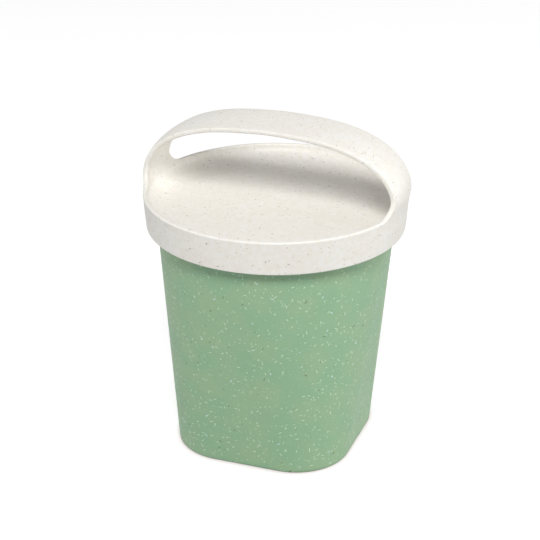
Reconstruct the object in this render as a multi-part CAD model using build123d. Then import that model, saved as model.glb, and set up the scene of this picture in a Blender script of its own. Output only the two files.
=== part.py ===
"""Food storage container with a twist-on lid and a carrying handle.

The pot has a rounded-square foot that turns into a round mouth. The lid is one moulding: a skirt, a shallow
dish and a broad strap handle that follows the same domed shape as the lid's outer face. A flat silicone ring
seals the mouth. Millimetres, +Z up, origin at the centre of the foot, handle along X.
"""
import os
from math import cos, hypot, radians, sin, tan

from build123d import *

# Pot
body_height = 104.6        # from the table to the lid's lower edge
base_half = 40.3           # half the width across the foot's flats
base_corner = 24.8         # corner radius of the foot, seen from above
mouth_radius = 53.1        # outside of the pot at the lid's lower edge
wall = 2.2                 # pot wall
floor_thickness = 2.8      # pot floor
foot_round = 1.8           # outer edge between the foot and the walls
inner_round = 6.0          # inner edge between the floor and the walls
recess_margin = 7.0        # width of the standing ring under the foot, after its round edge
recess_depth = 0.9         # hollow under the foot
recess_round = 0.6         # inner edge of that hollow
shoulder = 0.5             # step from the wall to the neck
neck_height = 5.8          # neck above the lid's lower edge
neck_round = 0.6           # edges of the neck's rim
mouth_flat = 0.1           # half length of the flats that are left where the square becomes round

# Lid, with heights counted from its lower edge
skirt_clearance = 2.7      # from the pot to the inside of the skirt, at the lower edge
rim_flare = 1.4            # how much further out the rim's top is than the lower edge
rim_height = 15.5          # top of the rim
dome_bulge = 0.6           # how much further out the widest part of the handle's dome is than the rim
dome_start = 19.0          # height of that widest part
dome_top = 47.9            # top of the handle
dome_side_power = 2.6      # how square the dome's profile is at its side: 2 would be an ellipse
dome_top_power = 2.22      # how square it is at its top
shell = 2.2                # thickness of the skirt and of the handle
dish_depth = 6.5           # dish floor below the rim's top
dish_floor = 2.0           # thickness of the dish floor
dish_blend = 10.5          # width of the curve from the dish floor to the rim
dish_join = 1.2            # from the top of that curve to the rim's top
quarter = 0.552            # control length of a curve that stands for a quarter of an ellipse
skirt_join = 8.0           # height where the straight skirt goes over into the dome's curve
strap_half = 14.0          # half the handle's width at its top
strap_foot_half = 12.4     # half its width where it grows out of the rim
strap_round = 8.0          # inner curve between the handle's edge and the rim
edge_round = 0.75          # rounding of the rim's and the handle's edges
hem_round = 0.7            # rounding of the skirt's lower edge

# Twist closure: helical ridges on the neck and inside the skirt
starts = 4
lead = 12.0                # rise in one full turn
ridge_reach = 2.0          # how far a neck ridge stands out of the neck
ridge_overlap = 1.0        # how far the two sets of ridges reach past each other
ridge_tip = 0.9            # thickness at a ridge's tip
ridge_flank = 15.0         # slope of a ridge's flanks, degrees
ridge_root = 0.7           # how deep a ridge is rooted in its wall
ridge_sink = 0.55          # share of its reach that a ridge's crest loses at both ends
ridge_margin = 1.3         # from the end of a ridge's run to the edge of its wall
ridge_step = 6.0           # degrees between a ridge's sections

# Seal, and the beads under the lid that hold it
bead_wall = 1.8            # thickness of the locating bead that reaches into the mouth
bead_height = 3.0          # how far it hangs below the dish floor
bead_gap = 0.9             # from the locating bead to the inside of the neck
seal_fit = 0.05            # the seal's radial fit on the locating bead
seal_overhang = 0.3        # the seal's outer edge beyond the neck
keeper_gap = 0.3           # from the seal to the outer bead
keeper_wall = 0.9          # thickness of the outer bead
keeper_height = 0.8        # how far it hangs below the dish floor

skirt_radius = mouth_radius + skirt_clearance + shell
rim_radius = skirt_radius + rim_flare
dome_radius = rim_radius + dome_bulge
skirt_slope = rim_flare / rim_height
strap_lean = (strap_half - strap_foot_half) / (dome_top - rim_height)
rim_z = body_height + rim_height
dish_z = rim_z - dish_depth
under_z = dish_z - dish_floor
neck_z = body_height + neck_height
neck_radius = mouth_radius - shoulder
bore_radius = neck_radius - wall + shoulder


def rounded_square(half, corner, z):
    """A level square with round corners, centred on the axis."""
    corner = min(corner, half - mouth_flat)
    return Pos(0, 0, z) * RectangleRounded(2 * half, 2 * half, corner)


def flared_block(low, high, low_corner, bottom, top, edge):
    """A solid that goes from a rounded square to a circle, with its lower edge rounded."""
    foot = rounded_square(low, low_corner, bottom).face()
    mouth = rounded_square(high, high, top).face()
    block = loft([foot, mouth], ruled=True)
    return fillet(block.edges().group_by(Axis.Z)[0], edge)


def ridge(root, tip, start_z, start_angle, run):
    """One helical ridge, with its crest sunk at both ends."""
    count = max(2, round(run / ridge_step))
    half_tip = ridge_tip / 2
    half_root = half_tip + abs(tip - root) * tan(radians(ridge_flank))
    sections = []
    for i in range(count + 1):
        turn = radians(start_angle + run * i / count)
        height = start_z + lead * run * i / count / 360
        crest = tip + (root - tip) * ridge_sink if i in (0, count) else tip
        frame = Plane(origin=(0, 0, height), x_dir=(cos(turn), sin(turn), 0), z_dir=(sin(turn), -cos(turn), 0))
        outline = Polyline((root, -half_root), (crest, -half_tip), (crest, half_tip), (root, half_root), close=True)
        sections.append((frame * make_face(outline)).face())
    return loft(sections, ruled=True)


def ridges(root, tip, low, high, phase):
    """The full set of ridges between two heights, on the helix that passes phase at angle zero."""
    run = 360 * (high - low) / lead
    first = 360 * (low - phase) / lead
    return [ridge(root, tip, low, first + 360 * k / starts, run) for k in range(starts)]


def make_pot():
    outside = flared_block(base_half, mouth_radius, base_corner, 0, body_height, foot_round)
    neck = Pos(0, 0, body_height) * Cylinder(neck_radius, 2 * neck_height, align=Align.CENTER)
    inner_corner = base_corner - wall
    cavity = flared_block(base_half - wall, bore_radius, inner_corner, floor_thickness, neck_z, inner_round)
    pot = outside + neck - cavity
    pot = fillet(pot.edges().group_by(Axis.Z)[-1], neck_round)
    recess_half = base_half - foot_round - recess_margin
    recess_corner = base_corner - foot_round - recess_margin
    recess = extrude(rounded_square(recess_half, recess_corner, 0), recess_depth)
    pot = pot - fillet(recess.edges().group_by(Axis.Z)[-1], recess_round)
    low = body_height + ridge_margin
    high = neck_z - ridge_margin
    for piece in ridges(neck_radius - ridge_root, neck_radius + ridge_reach, low, high, low):
        pot = pot + piece
    return pot


def dome_points(radius, top, start):
    """Points of the dome's profile, from its widest place to its top."""
    points = []
    for degrees in (20, 35, 48, 60, 70, 80):
        out = cos(radians(degrees)) ** (2 / dome_side_power)
        up = sin(radians(degrees)) ** (2 / dome_top_power)
        points.append((radius * out, start + (top - start) * up))
    return points


def turned(*lines):
    """The solid swept by a closed profile, drawn in the XZ plane, about the Z axis."""
    return revolve(Plane.XZ * make_face(Curve() + list(lines)), Axis.Z)


def skirt_point(inset, height):
    """A point of the skirt's flared face, or of a face set in from it, at a height above the lower edge."""
    return (skirt_radius + skirt_slope * height - inset, body_height + height)


def dome_profile(inset, height):
    """The curve from a height on the skirt to the middle of the handle, set in from the outer face."""
    radius = dome_radius - inset
    top = body_height + dome_top - inset
    start = body_height + dome_start
    sides = [skirt_point(inset, height), skirt_point(inset, rim_height), (radius, start)]
    points = [*sides, *dome_points(radius, top, start), (0, top)]
    return Spline(*points, tangents=[(skirt_slope, 1), (-1, 0)])


def make_shell():
    """The lid's shell before it is cut: a closed dome over the dish, open below."""
    low = skirt_point(0, 0)
    join = skirt_point(0, skirt_join)
    outside = turned(
        Line((0, body_height), low),
        Line(low, join),
        dome_profile(0, skirt_join),
        Line((0, body_height + dome_top), (0, body_height)),
    )
    low = skirt_point(shell, 0)
    high = skirt_point(shell, under_z - body_height)
    under = turned(
        Line((0, body_height), low),
        Line(low, high),
        Line(high, (0, under_z)),
        Line((0, under_z), (0, body_height)),
    )
    blend_top = skirt_point(shell, rim_height - dish_join)
    blend_rise = dish_depth - dish_join
    floor_edge = (blend_top[0] - dish_blend, dish_z)
    bend = (blend_top[0] - dish_blend * (1 - quarter), dish_z)
    rise = (blend_top[0] - skirt_slope * blend_rise * quarter, blend_top[1] - blend_rise * quarter)
    pocket = turned(
        Line((0, dish_z), floor_edge),
        Bezier(floor_edge, bend, rise, blend_top),
        dome_profile(shell, rim_height - dish_join),
        Line((0, body_height + dome_top - shell), (0, dish_z)),
    )
    return outside - under - pocket


def strap_opening():
    """What is cut away beside the handle, on the side of +Y."""
    far = 2 * dome_radius
    outline = Polyline(
        (strap_foot_half, rim_z),
        (far, rim_z),
        (far, rim_z + dome_top),
        (strap_foot_half + strap_lean * dome_top, rim_z + dome_top),
        close=True,
    )
    opening = extrude(Plane.YZ * make_face(outline), far, both=True)
    corner = opening.edges().filter_by(Axis.X).sort_by(lambda e: e.center().Y + e.center().Z)[0]
    return fillet(corner, strap_round)


def make_lid():
    lid = make_shell()
    for turn in (0, 180):
        lid = lid - Rot(0, 0, turn) * strap_opening()
    lid = fillet(cut_edges(lid), edge_round)
    hem = [e for e in lid.edges().group_by(Axis.Z)[0] if e.radius > skirt_radius - shell / 2]
    lid = fillet(hem, hem_round)
    bead_radius = bore_radius - bead_gap
    rooted = under_z + dish_floor / 2
    lid = lid + ring(bead_radius - bead_wall, bead_radius, under_z - bead_height, rooted)
    keeper = neck_radius + seal_overhang + keeper_gap
    lid = lid + ring(keeper, keeper + keeper_wall, under_z - keeper_height, rooted)
    low = body_height + ridge_margin
    phase = low - lead / starts / 2
    tip = neck_radius + ridge_reach - ridge_overlap
    root = skirt_radius - shell + ridge_root
    for piece in ridges(root, tip, low, neck_z - ridge_margin, phase):
        lid = lid + piece
    return lid


def cut_edges(lid):
    """The edges where the openings on both sides of the handle leave the shell."""
    found = []
    for edge in lid.edges():
        points = [edge.position_at(t) for t in (0.05, 0.5, 0.95)]
        if all(on_cut(abs(p.Y), p.Z) for p in points) and edge.length > 2 * shell:
            found.append(edge)
    return found


def on_cut(out, z):
    """Whether a point lies on the surface of the openings beside the handle."""
    near = 0.01
    height = z - rim_z
    slant = hypot(1, strap_lean)
    from_side = (out - strap_foot_half - strap_lean * height) / slant
    curve_out = strap_foot_half + strap_round * (strap_lean + slant)
    in_corner = out < curve_out and height < strap_round
    from_curve = hypot(out - curve_out, height - strap_round) - strap_round
    return abs(height) < near or abs(from_side) < near or in_corner and abs(from_curve) < near


def ring(inner, outer, bottom, top):
    """A plain round ring about the Z axis."""
    whole = Cylinder(outer, top - bottom, align=(Align.CENTER, Align.CENTER, Align.MIN))
    hole = Cylinder(inner, top - bottom, align=(Align.CENTER, Align.CENTER, Align.MIN))
    return Pos(0, 0, bottom) * (whole - hole)


def make_seal():
    inner = bore_radius - bead_gap + seal_fit
    return ring(inner, neck_radius + seal_overhang, neck_z, under_z)


os.makedirs("parts", exist_ok=True)
export_step(make_pot(), "parts/container_body.step")
export_step(make_lid(), "parts/lid.step")
export_step(make_seal(), "parts/seal_ring.step")
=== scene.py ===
"""The looks of a food storage container with a twist-on lid: materials, light and the photograph's camera."""
import math

import bpy
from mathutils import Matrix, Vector

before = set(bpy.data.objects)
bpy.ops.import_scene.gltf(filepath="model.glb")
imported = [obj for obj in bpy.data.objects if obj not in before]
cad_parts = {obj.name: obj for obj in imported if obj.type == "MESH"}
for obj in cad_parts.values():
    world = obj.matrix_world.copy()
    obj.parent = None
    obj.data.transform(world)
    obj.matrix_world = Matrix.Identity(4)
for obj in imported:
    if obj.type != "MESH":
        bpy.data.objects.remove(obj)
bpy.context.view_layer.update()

MM = 0.001

# The photograph's view, solved from the outlines of the pot and the lid
VIEW_TURN = math.radians(20.0)       # the camera's turn from the front towards +X
VIEW_TILT = math.radians(24.8)       # the camera's height angle
VIEW_DISTANCE = 800 * MM
VIEW_LENS = 117.4                    # focal length in mm, on a sensor this wide:
VIEW_SENSOR = 36
VIEW_NEAREST, VIEW_FARTHEST = 0.01, 20
AIM_SIDE = -2.7 * MM                 # the aim point's place beside the axis, as the camera sees it
AIM_HEIGHT = 80.5 * MM

# The light, at levels where 1 lights a white surface to white
WORLD_LEVEL = 0.36
LAMP_DISTANCE = 1.2
LAMPS = (
    # name, turn from the front towards +X and height angle in degrees, width, level
    ("key", 20, 48, 0.35, 0.77),
    ("left_side", -85, 15, 0.7, 0.18),
    ("right_side", 115, 14, 0.7, 0.42),
)

# The floor, whose own glow keeps it white for the camera
FLOOR_HALF = 3.0
FLOOR_GLOW = 1.5                     # strength of the glow
FLOOR_GLOW_SHARE = 0.45              # how much of the floor's colour is glow, the rest being lit
FLOOR_BOUNCE = 0.55                  # the lit part's brightness for the light that it throws on the object
FLOOR_SHADE = 0.95                   # and for the camera
CONTACT_REACH = 5 * MM               # how far from the foot the glow is dimmed, for its painted contact shadow
CONTACT_FULL, CONTACT_NONE = 0.45, 0.95   # openness to the sky where the dimming is full, and where it ends
# the colour of the painted contact shadow, put into the floor's glow
CONTACT_SHADOW_TINT = (0.66, 0.58, 0.59, 1)

PLASTIC_SPECULAR = 0.45
FIBRE_SEEDS = {"green": 1, "white": 11}   # the first fibre layer's seed, the others following it


def linear(*srgb):
    """A colour given as 0 to 255 in sRGB, as linear light."""
    values = [c / 255 for c in srgb]
    return tuple(c / 12.92 if c <= 0.04045 else ((c + 0.055) / 1.055) ** 2.4 for c in values) + (1.0,)


class Nodes:
    """Short calls that add shader nodes to a material's or world's tree and link them."""

    def __init__(self, owner):
        owner.use_nodes = True
        self.tree = owner.node_tree
        self.tree.nodes.clear()

    def add(self, kind, **settings):
        node = self.tree.nodes.new(kind)
        for name, value in settings.items():
            setattr(node, name, value)
        return node

    def feed(self, socket, value):
        if isinstance(value, bpy.types.NodeSocket):
            self.tree.links.new(value, socket)
        else:
            socket.default_value = value

    def math(self, operation, *values):
        node = self.add("ShaderNodeMath", operation=operation)
        for socket, value in zip(node.inputs, values):
            self.feed(socket, value)
        return node.outputs[0]

    def vector(self, operation, *values):
        node = self.add("ShaderNodeVectorMath", operation=operation)
        for socket, value in zip(node.inputs, values):
            self.feed(socket, value)
        return node.outputs["Value" if operation == "DOT_PRODUCT" else "Vector"]

    def scaled(self, vector, factor):
        node = self.add("ShaderNodeVectorMath", operation="SCALE")
        self.feed(node.inputs[0], vector)
        self.feed(node.inputs["Scale"], factor)
        return node.outputs["Vector"]

    def ramp(self, value, low, high, start=0.0, end=1.0, shape="SMOOTHSTEP"):
        node = self.add("ShaderNodeMapRange", interpolation_type=shape)
        ends = (("From Min", low), ("From Max", high), ("To Min", start), ("To Max", end))
        for name, number in (("Value", value), *ends):
            self.feed(node.inputs[name], number)
        return node.outputs["Result"]

    def mix(self, factor, first, second):
        node = self.add("ShaderNodeMix", data_type="RGBA")
        factor_socket, first_socket, second_socket = node.inputs[0], node.inputs[6], node.inputs[7]
        self.feed(factor_socket, factor)
        self.feed(first_socket, first)
        self.feed(second_socket, second)
        return node.outputs[2]

    def direct_view(self):
        """1 for the camera's own rays, their reflections and what shows through glass, 0 for bounced light."""
        path = self.add("ShaderNodeLightPath")
        seen = self.math("MAXIMUM", path.outputs["Is Camera Ray"], path.outputs["Is Glossy Ray"])
        return self.math("MAXIMUM", seen, path.outputs["Is Transmission Ray"])


class Plastic(Nodes):
    """The shader of one material of the object, drawn in the object's own coordinates."""

    def __init__(self, name):
        self.material = bpy.data.materials.new(name)
        super().__init__(self.material)
        coordinates = self.add("ShaderNodeTexCoord")
        self.place = coordinates.outputs["Object"]
        self.normal = coordinates.outputs["Normal"]

    def noise(self, scale, detail=2.0):
        """Cloudy noise, from 0 to 1, with features of about 1 / scale metres."""
        node = self.add("ShaderNodeTexNoise")
        self.feed(node.inputs["Vector"], self.place)
        node.inputs["Scale"].default_value = scale
        node.inputs["Detail"].default_value = detail
        node.inputs["Roughness"].default_value = 0.5
        return node.outputs["Fac"]

    def fibres(self, cell, shortest, longest, width, share, seed, bend=0.0):
        """The mask of thin fibres that lie in the surface, one at most in each cell of a 3-D pattern.

        Each fibre is drawn along a random direction of its own in the surface's plane.
        """
        shift = (seed * 0.37, seed * 0.11, seed * 0.23)
        place = self.vector("ADD", self.place, shift)
        cells = self.add("ShaderNodeTexVoronoi", voronoi_dimensions="3D", feature="F1")
        self.feed(cells.inputs["Vector"], place)
        cells.inputs["Scale"].default_value = 1 / cell
        chance = self.add("ShaderNodeSeparateColor")
        self.feed(chance.inputs[0], cells.outputs["Color"])
        offset = self.vector("SUBTRACT", place, cells.outputs["Position"])
        depth = self.vector("DOT_PRODUCT", offset, self.normal)
        flat = self.vector("SUBTRACT", offset, self.scaled(self.normal, depth))
        heading = self.vector("SUBTRACT", cells.outputs["Color"], (0.5, 0.5, 0.5))
        lean = self.vector("DOT_PRODUCT", heading, self.normal)
        heading = self.vector("NORMALIZE", self.vector("SUBTRACT", heading, self.scaled(self.normal, lean)))
        along = self.vector("DOT_PRODUCT", flat, heading)
        across = self.vector("DOT_PRODUCT", flat, self.vector("CROSS_PRODUCT", self.normal, heading))
        if bend:
            curve = self.math("MULTIPLY", self.math("POWER", self.math("ABSOLUTE", along), 2.0), bend)
            across = self.math("ADD", across, curve)
        luck = self.add("ShaderNodeTexWhiteNoise", noise_dimensions="3D")
        self.feed(luck.inputs["Vector"], cells.outputs["Position"])
        half_length = self.ramp(chance.outputs[0], 0.0, 1.0, shortest / 2, longest / 2)
        ends = self.math("SUBTRACT", self.math("ABSOLUTE", along), half_length)
        ends = self.ramp(ends, -width, 0.0, 1.0, 0.0)
        sides = self.ramp(self.math("ABSOLUTE", across), width * 0.2, width * 0.7, 1.0, 0.0)
        near = self.ramp(self.math("ABSOLUTE", depth), cell * 0.22, cell * 0.26, 1.0, 0.0)
        kept = self.math("LESS_THAN", luck.outputs["Value"], share)
        return self.math("MULTIPLY", self.math("MULTIPLY", ends, sides), self.math("MULTIPLY", near, kept))

    def add_fibres(self, colour, layers, first_seed):
        """The colour with fibre layers over it, whose lengths are in mm."""
        for seed, layer in enumerate(layers, first_seed):
            cell, shortest, longest, width, share, bend, tint, strength = layer
            mask = self.fibres(cell * MM, shortest * MM, longest * MM, width * MM, share, seed, bend)
            colour = self.mix(self.math("MULTIPLY", mask, strength), colour, tint)
        return colour

    def finish(self, colour, roughness, height, depth, specular):
        """Sets the surface, with a bump of the given depth, and returns the material."""
        shader = self.add("ShaderNodeBsdfPrincipled")
        self.feed(shader.inputs["Base Color"], colour)
        self.feed(shader.inputs["Roughness"], roughness)
        shader.inputs["Specular IOR Level"].default_value = specular
        bump = self.add("ShaderNodeBump")
        self.feed(bump.inputs["Height"], height)
        bump.inputs["Strength"].default_value = 1.0
        bump.inputs["Distance"].default_value = depth
        self.feed(shader.inputs["Normal"], bump.outputs["Normal"])
        out = self.add("ShaderNodeOutputMaterial")
        self.feed(out.inputs["Surface"], shader.outputs[0])
        return self.material


def green_plastic():
    """Sage green plastic with pale wood fibres and a few dark specks in it."""
    n = Plastic("green_fibre_plastic")
    cloud = n.ramp(n.noise(75), 0.35, 0.65)
    fine_cloud = n.ramp(n.noise(300, 3.0), 0.3, 0.7)
    colour = n.mix(cloud, linear(144, 183, 147), linear(154, 185, 147))
    colour = n.mix(n.math("MULTIPLY", fine_cloud, 0.35), colour, linear(140, 177, 141))
    layers = (
        # cell, shortest, longest, width, share of cells, bend, colour, strength
        (1.7, 0.4, 1.1, 0.24, 0.7, 0.0, linear(194, 218, 188), 0.55),
        (2.5, 0.6, 1.7, 0.3, 0.75, 0.0, linear(226, 240, 220), 0.85),
        (4.4, 1.2, 2.4, 0.28, 0.5, 260.0, linear(208, 228, 200), 0.65),
        (7.0, 0.8, 1.9, 0.44, 0.6, 0.0, linear(216, 228, 236), 0.9),
        (8.0, 0.9, 2.1, 0.46, 0.6, 0.0, linear(104, 106, 72), 0.75),
    )
    colour = n.add_fibres(colour, layers, FIBRE_SEEDS["green"])
    roughness = n.ramp(n.noise(500), 0.3, 0.7, 0.44, 0.54)
    return n.finish(colour, roughness, n.noise(2600), 0.012 * MM, PLASTIC_SPECULAR)


def white_plastic():
    """Warm off-white plastic with sparse brown and grey specks in it."""
    n = Plastic("white_fibre_plastic")
    cloud = n.ramp(n.noise(70), 0.35, 0.65)
    fine_cloud = n.ramp(n.noise(420, 3.0), 0.3, 0.7)
    colour = n.mix(cloud, linear(237, 234, 228), linear(239, 237, 233))
    colour = n.mix(n.math("MULTIPLY", fine_cloud, 0.6), colour, linear(231, 226, 214))
    layers = (
        # cell, shortest, longest, width, share of cells, bend, colour, strength
        (1.7, 0.3, 0.8, 0.28, 0.7, 0.0, linear(186, 177, 156), 0.5),
        (2.6, 0.3, 1.1, 0.3, 0.65, 0.0, linear(158, 146, 124), 0.6),
        (4.4, 0.4, 1.3, 0.38, 0.55, 0.0, linear(112, 100, 84), 0.75),
        (7.0, 1.0, 2.2, 0.3, 0.5, 200.0, linear(150, 134, 110), 0.6),
    )
    colour = n.add_fibres(colour, layers, FIBRE_SEEDS["white"])
    roughness = n.ramp(n.noise(500), 0.3, 0.7, 0.38, 0.48)
    return n.finish(colour, roughness, n.noise(2600), 0.01 * MM, PLASTIC_SPECULAR)


def silicone():
    """Milky silicone for the seal."""
    n = Plastic("milky_silicone")
    colour = n.mix(n.noise(220), linear(222, 221, 215), linear(212, 212, 206))
    roughness = n.ramp(n.noise(900), 0.3, 0.7, 0.45, 0.6)
    return n.finish(colour, roughness, n.noise(1800), 0.01 * MM, 0.4)


def dress(node, material):
    """Gives a CAD node its material."""
    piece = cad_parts[node]
    for place in piece.material_slots:
        place.material = material


def direction(turn, tilt):
    """The way out from the object at a turn from the front towards +X and a height angle, both in radians."""
    level = math.cos(tilt)
    return Vector((math.sin(turn) * level, -math.cos(turn) * level, math.sin(tilt)))


def look(thing, place, aim):
    thing.location = place
    thing.rotation_euler = (aim - place).to_track_quat("-Z", "Y").to_euler()


def make_camera():
    data = bpy.data.cameras.new("camera")
    data.lens = VIEW_LENS
    data.sensor_width = VIEW_SENSOR
    data.clip_start, data.clip_end = VIEW_NEAREST, VIEW_FARTHEST
    camera = bpy.data.objects.new("camera", data)
    bpy.context.scene.collection.objects.link(camera)
    bpy.context.scene.camera = camera
    right = Vector((math.cos(VIEW_TURN), math.sin(VIEW_TURN), 0))
    aim = right * AIM_SIDE + Vector((0, 0, AIM_HEIGHT))
    look(camera, aim + direction(VIEW_TURN, VIEW_TILT) * VIEW_DISTANCE, aim)


def make_softbox(name, turn, tilt, size, level):
    """A square lamp that lights a white surface facing it to the given level."""
    data = bpy.data.lights.new(name, "AREA")
    data.shape = "SQUARE"
    data.size = size
    data.energy = level * math.pi ** 2 * LAMP_DISTANCE ** 2
    lamp = bpy.data.objects.new(name, data)
    bpy.context.scene.collection.objects.link(lamp)
    aim = Vector((0, 0, AIM_HEIGHT))
    look(lamp, aim + direction(math.radians(turn), math.radians(tilt)) * LAMP_DISTANCE, aim)


def make_world():
    """White surroundings: the camera sees pure white, and the object is lit at the world's level."""
    world = bpy.data.worlds.new("surroundings")
    bpy.context.scene.world = world
    n = Nodes(world)
    background = n.add("ShaderNodeBackground")
    n.feed(background.inputs["Strength"], n.ramp(n.direct_view(), 0.0, 1.0, WORLD_LEVEL, 1.0, "LINEAR"))
    out = n.add("ShaderNodeOutputWorld")
    n.feed(out.inputs["Surface"], background.outputs[0])


def make_floor():
    """A wide white floor that keeps the object's shadow, with a glow that is dimmed around the foot as a
    painted contact shadow.
    """
    half = FLOOR_HALF
    mesh = bpy.data.meshes.new("floor")
    corners = [(-half, -half, 0), (half, -half, 0), (half, half, 0), (-half, half, 0)]
    mesh.from_pydata(corners, [], [(0, 1, 2, 3)])
    floor = bpy.data.objects.new("floor", mesh)
    bpy.context.scene.collection.objects.link(floor)
    material = bpy.data.materials.new("white_floor")
    n = Nodes(material)
    path = n.add("ShaderNodeLightPath")
    matt = n.add("ShaderNodeBsdfDiffuse")
    shade = n.ramp(path.outputs["Is Camera Ray"], 0.0, 1.0, FLOOR_BOUNCE, FLOOR_SHADE, "LINEAR")
    n.feed(matt.inputs["Color"], shade)
    # painted contact shadow: the glow takes a dark tint where little of the sky is open, close to the foot
    openness = n.add("ShaderNodeAmbientOcclusion")
    openness.inputs["Distance"].default_value = CONTACT_REACH
    contact = n.ramp(openness.outputs["AO"], CONTACT_FULL, CONTACT_NONE, shape="LINEAR")
    glow = n.add("ShaderNodeEmission")
    n.feed(glow.inputs["Color"], n.mix(contact, CONTACT_SHADOW_TINT, (1, 1, 1, 1)))
    glow.inputs["Strength"].default_value = FLOOR_GLOW
    mix = n.add("ShaderNodeMixShader")
    n.feed(mix.inputs[0], n.math("MULTIPLY", n.direct_view(), FLOOR_GLOW_SHARE))
    n.feed(mix.inputs[1], matt.outputs[0])
    n.feed(mix.inputs[2], glow.outputs[0])
    out = n.add("ShaderNodeOutputMaterial")
    n.feed(out.inputs["Surface"], mix.outputs[0])
    mesh.materials.append(material)


make_camera()
dress("container_body", green_plastic())
dress("lid", white_plastic())
dress("seal_ring", silicone())
make_world()
make_floor()
for lamp_values in LAMPS:
    make_softbox(*lamp_values)
bpy.context.scene.view_settings.view_transform = "Standard"
